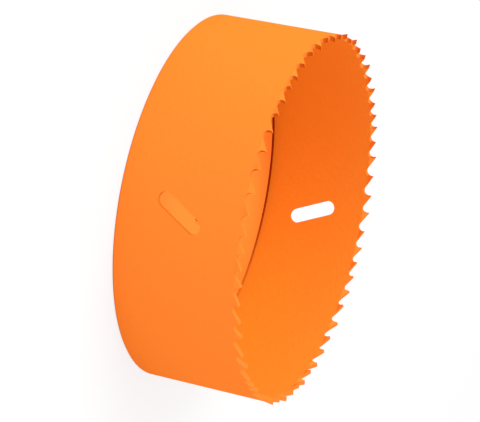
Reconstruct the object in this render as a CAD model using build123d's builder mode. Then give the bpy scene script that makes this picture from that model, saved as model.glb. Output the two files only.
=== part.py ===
from build123d import *
from math import asin, cos, degrees, pi, radians, sin, tan
import os

# A bi-metal hole saw: a rolled strip with set teeth, standing on a threaded backing plate.
# The origin is the centre of the plate's outer face, and the teeth point up +Z.
# Lengths are in millimetres and angles in degrees.

# ---- Band: the rolled and butt-welded strip ----
cut_diameter = 105.0  # across the tips of the teeth that lean outwards
band_wall = 1.3
tip_height = 36.5  # from the plate's outer face to the tooth tips
heel_bevel = 0.5  # on the band's rear outer edge

# ---- Teeth: a run of varying pitches that repeats along the strip ----
tooth_pitches = (5.3, 5.7, 5.1, 4.8, 4.5, 4.7, 5.3, 5.9, 6.2)
tooth_leans = (0, 1, -1, 1, -1)  # raker, out, in, out, in
tooth_set = 0.5  # lean of a set tooth at its tip
first_tip_angle = -0.6  # the first tooth after the joint, with the rest clockwise from it
rake_angle = 8.0  # the cutting face leans forward over its gullet
back_angle = 30.0  # fall of the tooth's back below the tip line
tip_land = 0.25
gullet_share = 0.25  # gullet radius as a share of the tooth's own pitch

# ---- Slots for pushing out the waste ----
# Each slot is punched by itself: its angle round the saw, height of its middle and slant off the axis.
slot_length = 14.5
slot_width = 4.3
slot_places = ((-89.0, 17.5, 32.0), (88.1, 19.1, 24.0))

# ---- Backing plate ----
plate_thickness = 4.0
plate_clearance = 0.05  # between the plate's edge and the band's bore
inner_bevel = 1.5  # leaves the groove between the plate and the band
outer_bevel = 0.4
thread_diameter = 15.875  # 5/8 inch, 18 threads to the inch
thread_chamfer = 0.5
pin_circle = 28.0
pin_hole = 6.5
pin_count = 4
first_pin_angle = 85.0

# ---- Worked out from the sizes above ----
band_outer = cut_diameter / 2 - tooth_set
band_inner = band_outer - band_wall
plate_radius = band_inner - plate_clearance

# The strip is cut where the rim is full, which can be part of the way through the run. Each pitch
# is then stretched a little, so that the last tooth meets the first.
rim_length = 2 * pi * band_outer
pitches = []
next_pitch = tooth_pitches[0]
while sum(pitches) + next_pitch / 2 < rim_length:
    pitches.append(next_pitch)
    next_pitch = tooth_pitches[len(pitches) % len(tooth_pitches)]
steps = [360.0 * pitch / sum(pitches) for pitch in pitches]

tool_clear = 1.0  # how far each cutter starts outside the steel
tool_reach = 2 * tool_clear + band_wall + 2 * tooth_set


def axial_plane(angle):
    """The upright plane through the saw's axis at an angle, x outwards and y up."""
    turn = radians(angle)
    return Plane(origin=(0, 0, 0), x_dir=(cos(turn), sin(turn), 0), z_dir=(sin(turn), -cos(turn), 0))


def rim_plane(angle, height):
    """A plane just outside the band at an angle, x anticlockwise, y up and facing outwards."""
    turn = radians(angle)
    outward = Vector(cos(turn), sin(turn), 0)
    spot = outward * (band_outer + tooth_set + tool_clear) + Vector(0, 0, height)
    return Plane(origin=spot, x_dir=(-sin(turn), cos(turn), 0), z_dir=outward)


def gullet_points(step):
    """Where the tooth ahead ends, the root corner and the next tip, about the gullet's middle."""
    half = band_outer * sin(radians(step / 2))
    back_fall = tan(radians(back_angle))
    face_lean = tan(radians(rake_angle))
    back_start = half - tip_land
    depth = back_fall * (back_start + half) / (1 - back_fall * face_lean)
    return (back_start, 0), (-half - depth * face_lean, -depth), (-half, 0)


def gullet_radius(step):
    return gullet_share * radians(step) * band_outer


def gullet_floor(step):
    """The lowest point of the rounded gullet, about its middle on the tip line."""
    root_x, root_y = gullet_points(step)[1]
    corner = radians(90 - back_angle - rake_angle)
    bisector = radians(back_angle) + corner / 2
    radius = gullet_radius(step)
    reach = radius / sin(corner / 2)
    return root_x + reach * cos(bisector), root_y + reach * sin(bisector) - radius


def floor_behind_tip(step):
    """The angle from a tooth's tip back to the floor of the gullet behind it."""
    return step / 2 - degrees(asin(gullet_floor(step)[0] / band_outer))


# The teeth bend just above the floor of the shallowest gullet, so that neighbours stay apart.
bend_share = 0.95
gullet_depths = [-gullet_floor(step)[1] for step in steps]
bend_height = tip_height - bend_share * min(gullet_depths)

# ---- Band ----
with BuildPart() as saw_band:
    with BuildSketch():
        Circle(band_outer)
        Circle(band_inner, mode=Mode.SUBTRACT)
    extrude(amount=bend_height)
    heel = saw_band.edges().filter_by(GeomType.CIRCLE).group_by(Axis.Z)[0].sort_by(SortBy.RADIUS)[-1]
    chamfer(heel, heel_bevel)

    # Each tooth is a slice of the strip, upright or bent out or in above the bend line.
    tip_angle = first_tip_angle
    slice_start = first_tip_angle + steps[-1] - floor_behind_tip(steps[-1])
    teeth = []
    for number, step in enumerate(steps):
        lean = tooth_leans[number % len(tooth_leans)] * tooth_set
        slice_end = tip_angle - floor_behind_tip(step)
        with BuildSketch(axial_plane(slice_end)):
            with BuildLine():
                Polyline(
                    (band_inner, bend_height),
                    (band_outer, bend_height),
                    (band_outer + lean, tip_height),
                    (band_inner + lean, tip_height),
                    close=True,
                )
            make_face()
        teeth.append(revolve(axis=Axis.Z, revolution_arc=slice_start - slice_end, mode=Mode.PRIVATE))
        slice_start = slice_end
        tip_angle -= step
    add(teeth)

    # The gullets are milled straight in, each with a steep face, a round floor and a sloping back.
    tip_angle = first_tip_angle
    for step in steps:
        ahead, root, behind = gullet_points(step)
        with BuildSketch(rim_plane(tip_angle - step / 2, tip_height)):
            with BuildLine():
                FilletPolyline(ahead, root, behind, radius=gullet_radius(step))
                Polyline(behind, (behind[0], tool_clear), (ahead[0], tool_clear), ahead)
            make_face()
        tip_angle -= step
    extrude(amount=-tool_reach, mode=Mode.SUBTRACT)

    for angle, height, slant in slot_places:
        with BuildSketch(rim_plane(angle, height)):
            SlotOverall(slot_length, slot_width, rotation=90 - slant)
        extrude(amount=-tool_reach, mode=Mode.SUBTRACT)

# ---- Backing plate ----
with BuildPart() as backing_plate:
    with BuildSketch():
        Circle(plate_radius)
    extrude(amount=plate_thickness)
    rims = backing_plate.edges().filter_by(GeomType.CIRCLE).sort_by(Axis.Z)
    chamfer(rims[-1], inner_bevel)
    chamfer(rims[0], outer_bevel)

    with BuildSketch():
        Circle(thread_diameter / 2)
    extrude(amount=plate_thickness, mode=Mode.SUBTRACT)
    bore_wall = backing_plate.faces().filter_by(GeomType.CYLINDER).sort_by(SortBy.RADIUS)[0]
    chamfer(bore_wall.edges().filter_by(GeomType.CIRCLE), thread_chamfer)

    with BuildSketch():
        with PolarLocations(pin_circle / 2, pin_count, start_angle=first_pin_angle):
            Circle(pin_hole / 2)
    extrude(amount=plate_thickness, mode=Mode.SUBTRACT)

saw_band.part.label = "saw_band"
backing_plate.part.label = "backing_plate"

os.makedirs("parts", exist_ok=True)
export_step(saw_band.part, "parts/saw_band.step")
export_step(backing_plate.part, "parts/backing_plate.step")
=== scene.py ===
from math import cos, pi, radians, sin

import bpy
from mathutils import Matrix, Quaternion, Vector


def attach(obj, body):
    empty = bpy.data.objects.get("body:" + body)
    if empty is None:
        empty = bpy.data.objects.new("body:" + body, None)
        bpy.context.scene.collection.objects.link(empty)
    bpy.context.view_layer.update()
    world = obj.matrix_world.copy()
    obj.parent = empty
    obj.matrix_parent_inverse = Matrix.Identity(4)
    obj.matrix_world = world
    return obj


# A hole saw of rolled bi-metal strip on a threaded plate, sprayed all over with orange enamel.
# It stands on its plate with the teeth up. Lengths are in millimetres and turned to metres by mm.
# Angles are in degrees.

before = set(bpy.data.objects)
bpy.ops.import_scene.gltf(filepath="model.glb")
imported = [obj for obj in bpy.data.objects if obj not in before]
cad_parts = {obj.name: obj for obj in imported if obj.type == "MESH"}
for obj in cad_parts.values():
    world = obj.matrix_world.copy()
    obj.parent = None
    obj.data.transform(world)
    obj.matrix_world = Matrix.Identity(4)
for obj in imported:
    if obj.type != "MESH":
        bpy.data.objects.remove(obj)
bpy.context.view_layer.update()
mm = 0.001

# ---- Sizes of the steel that the finishes and the added pieces follow ----
plate_thickness = 4.0
plate_radius = 50.65
bore_radius = 7.9375  # 5/8 inch thread, at its major diameter
bore_chamfer = 0.5
rim_foot = 30.0  # above the slots and below the gullets

# ---- Camera: looks down across the mouth, lying on its side ----
camera_place = Vector((-43.52, -529.29, 210.06)) * mm
camera_aim = Vector((1.62, -0.14, 14.78)) * mm
camera_roll = 101.77
camera_lens = 150.54
sensor_width = 36.0
clip_start, clip_end = 10.0, 20000.0

lens = bpy.data.cameras.new("camera")
lens.sensor_width = sensor_width
lens.lens = camera_lens
lens.clip_start, lens.clip_end = clip_start * mm, clip_end * mm
camera = bpy.data.objects.new("camera", lens)
bpy.context.scene.collection.objects.link(camera)
camera.location = camera_place
camera.rotation_mode = "QUATERNION"
level_view = (camera_aim - camera_place).to_track_quat("-Z", "Y")
camera.rotation_quaternion = level_view @ Quaternion((0, 0, 1), radians(camera_roll))
bpy.context.scene.camera = camera
bpy.context.scene.view_settings.view_transform = "Standard"


# ---- Colours and nodes ----
def colour(text):
    """An sRGB hex colour as linear light, with alpha."""
    shares = [int(text[i:i + 2], 16) / 255 for i in (1, 3, 5)]
    return (*[s / 12.92 if s <= 0.04045 else ((s + 0.055) / 1.055) ** 2.4 for s in shares], 1.0)


def socket(sockets, name):
    return next((s for s in sockets if s.identifier == name), None)


def add_node(tree, kind, settings, **links):
    """Adds a node, sets its sockets and options, and links its inputs, named with _ for a space."""
    node = tree.nodes.new(kind)
    for name, value in settings.items():
        if not hasattr(node, name):
            socket(node.inputs, name).default_value = value
        else:
            setattr(node, name, value)
    for name, source in links.items():
        target = socket(node.inputs, name) or socket(node.inputs, name.replace("_", " "))
        tree.links.new(source, target)
    return node


def seen_directly(tree):
    """1 for rays that show the backdrop itself, to the eye or in a reflection."""
    path = add_node(tree, "ShaderNodeLightPath", {})
    shown = path.outputs["Is Camera Ray"]
    for kind in ("Is Glossy Ray", "Is Transmission Ray"):
        both = add_node(
            tree, "ShaderNodeMath", {"operation": "MAXIMUM"},
            Value=shown, Value_001=path.outputs[kind],
        )
        shown = both.outputs[0]
    return shown


# ---- Floor ----
white = "#FFFFFF"
floor_white = "#DCDCDC"
floor_side = 8000.0
floor_drop = 0.05  # keeps the floor's face off the plate's
backdrop_share = 0.8  # of the floor's white that doesn't depend on the lamps
foot_edge = 1.0  # width of the change at the saw's foot

bpy.ops.object.select_all(action="DESELECT")
bpy.ops.mesh.primitive_plane_add(size=floor_side * mm, location=(0, 0, -floor_drop * mm))
floor = bpy.context.object
floor.name = "floor"
# Matt paper: pale and even, with no gloss.
paper = bpy.data.materials.new("matt_white_paper_floor")
paper.use_nodes = True
tree = paper.node_tree
tree.nodes.clear()
matt = add_node(tree, "ShaderNodeBsdfDiffuse", {"Color": colour(floor_white)})
lift = add_node(tree, "ShaderNodeEmission", {"Color": colour(white), "Strength": 1.0})
# Under the saw the paper has only the light that comes through the holes in the plate.
place = add_node(tree, "ShaderNodeTexCoord", {}).outputs["Object"]
reach = add_node(tree, "ShaderNodeVectorMath", {"operation": "LENGTH"}, Vector=place)
outside = add_node(
    tree, "ShaderNodeMapRange",
    {
        "From Min": (plate_radius - foot_edge) * mm, "From Max": plate_radius * mm,
        "To Max": backdrop_share,
    },
    Value=reach.outputs["Value"],
)
share = add_node(
    tree, "ShaderNodeMath", {"operation": "MULTIPLY"},
    Value=outside.outputs[0], Value_001=seen_directly(tree),
)
mixed = add_node(
    tree, "ShaderNodeMixShader", {},
    Fac=share.outputs[0], Shader=matt.outputs[0], Shader_001=lift.outputs[0],
)
add_node(tree, "ShaderNodeOutputMaterial", {}, Surface=mixed.outputs[0])
floor.data.materials.append(paper)

# ---- Surroundings: even white on all sides ----
sky_on_saw = 1.05  # strength as a light
sky_in_view = 1.0

world = bpy.data.worlds.new("studio")
bpy.context.scene.world = world
world.use_nodes = True
tree = world.node_tree
tree.nodes.clear()
strength = add_node(
    tree, "ShaderNodeMapRange", {"To Min": sky_on_saw, "To Max": sky_in_view},
    Value=seen_directly(tree),
)
sky = add_node(
    tree, "ShaderNodeBackground", {"Color": colour(white)}, Strength=strength.outputs[0]
)
add_node(tree, "ShaderNodeOutputWorld", {}, Surface=sky.outputs[0])

# ---- Key lamp: one square softbox that faces the saw from above ----
key_azimuth = 195  # round the saw from +X
key_elevation = 55
key_distance = 900.0
key_side = 600.0
key_power = 6.0  # watts
key_aim = 20.0  # height on the saw's axis

turn, tilt = radians(key_azimuth), radians(key_elevation)
towards_key = Vector((cos(turn) * cos(tilt), sin(turn) * cos(tilt), sin(tilt)))
lamp = bpy.data.lights.new("key_softbox", "AREA")
lamp.size = key_side * mm
lamp.energy = key_power
softbox = bpy.data.objects.new("key_softbox", lamp)
bpy.context.scene.collection.objects.link(softbox)
softbox.location = Vector((0, 0, key_aim * mm)) + towards_key * (key_distance * mm)
softbox.rotation_mode = "QUATERNION"
softbox.rotation_quaternion = towards_key.to_track_quat("Z", "Y")

# ---- Finishes ----
film_colour = "#FE8124"
overlap_colour = "#FB7F22"
overlap_size = 30.0
overlap_detail = 2.0
# Orange peel is drawn some 0.03 mm high, which is a few times the real height, so that it shows.
# The pattern fills about a third of the height that is set here.
peel_size = 1.2  # from crest to crest
peel_height = 0.08
peel_detail = 1.0
roughness_low, roughness_high = 0.48, 0.54
enamel_ior = 1.5
gloss_share = 0.012  # of the light, thrown back white by the film's surface

# Punched slots and milled gullets have sharp edges, where the film draws back and looks browner.
# Their cut faces are painted browner still, as painted shade.
# On the rim, faces that slope upward are painted a redder orange than the film, far lighter than
# the gullet edges: painted light on the tooth backs, which face the lamp above.
slot_edge_and_shade = "#DC7216"
gullet_edge_and_shade = "#C45A06"
tooth_back_painted_light = "#FE7521"
# Inside the cup the film is painted paler and less red, and yellower deeper down: painted light
# that offsets the shade and the red bounce light in the cup. The plate's face in the cup is painted
# paler in the same way.
inside_painted_light = "#EA8A28"
deep_inside_painted_light = "#E89228"
plate_face_painted_light = "#F7852F"
# The bottom of the groove is painted dark brown, mostly at -X, where it faces away from the lamp:
# painted shade.
groove_painted_shade = "#9C3004"


def baked_enamel(name):
    """Sprayed and baked enamel on steel: satin, smooth, with a faint orange peel and little
    change of colour. Returns it, its colour before edges and crevices, and its shader."""
    material = bpy.data.materials.new(name)
    material.use_nodes = True
    tree = material.node_tree
    tree.nodes.clear()
    place = add_node(tree, "ShaderNodeTexCoord", {}).outputs["Object"]
    # The film is a little thicker where the spray overlapped.
    overlap = add_node(
        tree, "ShaderNodeTexNoise",
        {"Scale": 1 / (overlap_size * mm), "Detail": overlap_detail}, Vector=place,
    )
    film = add_node(
        tree, "ShaderNodeMix",
        {"data_type": "RGBA", "A_Color": colour(film_colour), "B_Color": colour(overlap_colour)},
        Factor_Float=overlap.outputs["Fac"],
    )
    peel = add_node(
        tree, "ShaderNodeTexNoise",
        {"Scale": 1 / (peel_size * mm), "Detail": peel_detail}, Vector=place,
    )
    relief = add_node(
        tree, "ShaderNodeBump", {"Distance": peel_height * mm, "Strength": 1.0},
        Height=peel.outputs["Fac"],
    )
    roughness = add_node(
        tree, "ShaderNodeMapRange", {"To Min": roughness_low, "To Max": roughness_high},
        Value=peel.outputs["Fac"],
    )
    shader = add_node(
        tree, "ShaderNodeBsdfPrincipled",
        {"IOR": enamel_ior, "Metallic": 0.0, "Specular IOR Level": 0.0},
        Roughness=roughness.outputs[0], Normal=relief.outputs[0],
    )
    # The gloss is a thin white layer of its own, as strong from every side, so the shader under
    # it has none.
    gloss = add_node(
        tree, "ShaderNodeBsdfAnisotropic", {"Color": colour(white)},
        Roughness=roughness.outputs[0], Normal=relief.outputs[0],
    )
    coated = add_node(
        tree, "ShaderNodeMixShader", {"Fac": gloss_share},
        Shader=shader.outputs[0], Shader_001=gloss.outputs[0],
    )
    add_node(tree, "ShaderNodeOutputMaterial", {}, Surface=coated.outputs[0])
    return material, socket(film.outputs, "Result_Color"), shader


def film_where(tree, film, other, *limits):
    """Changes the film's colour where every limit holds. A limit is a value on the surface, where
    the change starts and where it is complete, in either direction."""
    share = None
    for value, start, complete in limits:
        held = add_node(
            tree, "ShaderNodeMapRange",
            {"From Min": start, "From Max": complete, "interpolation_type": "SMOOTHSTEP"},
            Value=value,
        )
        if share:
            held = add_node(
                tree, "ShaderNodeMath", {"operation": "MULTIPLY"},
                Value=share, Value_001=held.outputs[0],
            )
        share = held.outputs[0]
    mixed = add_node(
        tree, "ShaderNodeMix", {"data_type": "RGBA", "B_Color": colour(other)},
        Factor_Float=share, A_Color=film,
    )
    return socket(mixed.outputs, "Result_Color")


# The band: the way a face points tells the inside, the cut edges and the teeth's backs apart.
band_finish, film, shader = baked_enamel("baked_enamel_on_rolled_strip")
tree = band_finish.node_tree
spot = add_node(tree, "ShaderNodeTexCoord", {}).outputs
place = add_node(tree, "ShaderNodeSeparateXYZ", {}, Vector=spot["Object"]).outputs
rise = add_node(tree, "ShaderNodeSeparateXYZ", {}, Vector=spot["Normal"]).outputs["Z"]
flat = add_node(
    tree, "ShaderNodeVectorMath", {"operation": "MULTIPLY", "Vector_001": (1, 1, 0)},
    Vector=spot["Object"],
)
outward = add_node(
    tree, "ShaderNodeVectorMath", {"operation": "NORMALIZE"}, Vector=flat.outputs[0]
)
facing = add_node(
    tree, "ShaderNodeVectorMath", {"operation": "DOT_PRODUCT"},
    Vector=spot["Normal"], Vector_001=outward.outputs[0],
).outputs["Value"]
radial = add_node(tree, "ShaderNodeMath", {"operation": "ABSOLUTE"}, Value=facing).outputs[0]

inside = (facing, -0.6, -0.8)
deep_down = (place["Z"], 32 * mm, 6 * mm)
cut = (radial, 0.6, 0.3)
below_rim = (place["Z"], (rim_foot + 1) * mm, rim_foot * mm)
on_rim = (place["Z"], rim_foot * mm, (rim_foot + 1) * mm)
steep = (rise, 0.8, 0.5)
sloping = (rise, 0.5, 0.8)
at_groove = (place["Z"], (plate_thickness + 0.15) * mm, (plate_thickness + 0.05) * mm)
shaded_side = (place["X"], 45 * mm, -5 * mm)
# Painted light: the inside of the cup is paler, and yellower deeper down.
film = film_where(tree, film, inside_painted_light, inside)
film = film_where(tree, film, deep_inside_painted_light, inside, deep_down)
# Cut faces: browner film at the sharp edges, and painted shade.
film = film_where(tree, film, slot_edge_and_shade, cut, below_rim)
film = film_where(tree, film, gullet_edge_and_shade, cut, steep, on_rim)
# Painted light: upward faces of the teeth are lighter than the steep gullet faces.
film = film_where(tree, film, tooth_back_painted_light, sloping, on_rim)
# Painted shade: dark brown at the bottom of the groove, mostly at -X.
film = film_where(tree, film, groove_painted_shade, inside, at_groove, shaded_side)
tree.links.new(film, shader.inputs["Base Color"])

# The plate: its edge meets the band in the groove, at the foot of its bevel.
plate_finish, film, shader = baked_enamel("baked_enamel_on_blanked_plate")
tree = plate_finish.node_tree
spot = add_node(tree, "ShaderNodeTexCoord", {}).outputs
height = add_node(tree, "ShaderNodeSeparateXYZ", {}, Vector=spot["Object"]).outputs["Z"]
flat = add_node(
    tree, "ShaderNodeVectorMath", {"operation": "MULTIPLY", "Vector_001": (1, 1, 0)},
    Vector=spot["Object"],
)
radius = add_node(
    tree, "ShaderNodeVectorMath", {"operation": "LENGTH"}, Vector=flat.outputs[0]
).outputs["Value"]

in_cup = (height, 2.0 * mm, 2.2 * mm)
at_edge = (radius, (plate_radius - 0.9) * mm, (plate_radius - 0.4) * mm)
on_bevel = (height, 2.3 * mm, 2.4 * mm)
# Painted light: the plate's face in the cup is paler.
film = film_where(tree, film, plate_face_painted_light, in_cup)
# Painted shade: dark brown on the plate's edge, down in the groove.
film = film_where(tree, film, groove_painted_shade, at_edge, on_bevel)
tree.links.new(film, shader.inputs["Base Color"])

for node, finish in (("saw_band", band_finish), ("backing_plate", plate_finish)):
    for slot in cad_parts[node].material_slots:
        slot.material = finish

# The thread is sprayed with the rest.
thread_finish, film, shader = baked_enamel("baked_enamel_on_cut_thread")
thread_finish.node_tree.links.new(film, shader.inputs["Base Color"])

# ---- Thread in the plate's bore: one helical ridge, countersunk at both faces ----
thread_pitch = 25.4 / 18
thread_depth = 0.54 * thread_pitch
thread_bury = 0.11  # how far the ridge's foot lies in the bore's wall
root_width = 0.875  # of the pitch
crest_width = 0.25
thread_steps = 64  # in a turn
smooth_below = 35  # edges bent less than this look round
sink_sides = 96
sink_proud = 2.0  # how far the countersink's cutter stands out of the plate


def only(piece):
    bpy.ops.object.select_all(action="DESELECT")
    piece.select_set(True)
    bpy.context.view_layer.objects.active = piece


def apply_modifier(piece, kind, settings):
    only(piece)
    modifier = piece.modifiers.new(kind.lower(), kind)
    for name, value in settings.items():
        setattr(modifier, name, value)
    bpy.ops.object.modifier_apply(modifier=modifier.name)


# The profile is a square in the plane y = 0, drawn in at the crest.
root_radius = bore_radius + thread_bury
crest_radius = bore_radius - thread_depth
middle_radius = (root_radius + crest_radius) / 2
bpy.ops.object.select_all(action="DESELECT")
bpy.ops.mesh.primitive_plane_add(size=1.0, rotation=(pi / 2, 0, 0))
thread = bpy.context.object
thread.name = "arbor_thread"
thread.scale = ((root_radius - crest_radius) * mm, root_width * thread_pitch * mm, 1.0)
thread.location = (middle_radius * mm, 0, -thread_pitch / 2 * mm)
bpy.ops.object.transform_apply()
bpy.ops.object.mode_set(mode="EDIT")
bpy.ops.mesh.select_all(action="DESELECT")
bpy.ops.object.mode_set(mode="OBJECT")
for vertex in thread.data.vertices:
    vertex.select = vertex.co.x < middle_radius * mm
bpy.ops.object.mode_set(mode="EDIT")
bpy.ops.transform.resize(
    value=(1, 1, crest_width / root_width), center_override=(0, 0, -thread_pitch / 2 * mm)
)
bpy.ops.mesh.select_all(action="SELECT")
bpy.ops.mesh.delete(type="ONLY_FACE")
bpy.ops.object.mode_set(mode="OBJECT")

# It winds up from below the plate to above it, and both ends are closed.
turns = plate_thickness / thread_pitch + 1
apply_modifier(thread, "SCREW", {
    "axis": "Z", "angle": turns * 2 * pi, "screw_offset": turns * thread_pitch * mm,
    "steps": round(turns * thread_steps), "render_steps": round(turns * thread_steps),
    "use_merge_vertices": False,
})
bpy.ops.object.mode_set(mode="EDIT")
bpy.ops.mesh.select_all(action="SELECT")
bpy.ops.mesh.fill_holes(sides=4)
bpy.ops.mesh.normals_make_consistent(inside=False)
bpy.ops.object.mode_set(mode="OBJECT")

# Each countersink goes on from the bevel of the bore, and takes the end off the ridge.
sink_depth = bore_radius + bore_chamfer + sink_proud
for face, away, turn in ((plate_thickness, 1, 0), (0, -1, pi)):
    bpy.ops.object.select_all(action="DESELECT")
    bpy.ops.mesh.primitive_cone_add(
        vertices=sink_sides, radius1=0, radius2=sink_depth * mm, depth=sink_depth * mm,
        location=(0, 0, (face + away * (sink_proud - sink_depth / 2)) * mm),
        rotation=(turn, 0, 0),
    )
    sink = bpy.context.object
    apply_modifier(
        thread, "BOOLEAN", {"operation": "DIFFERENCE", "object": sink, "solver": "EXACT"}
    )
    only(sink)
    bpy.ops.object.delete()
only(thread)
bpy.ops.object.shade_smooth_by_angle(angle=radians(smooth_below))
thread.data.materials.clear()
thread.data.materials.append(thread_finish)
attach(thread, "root")
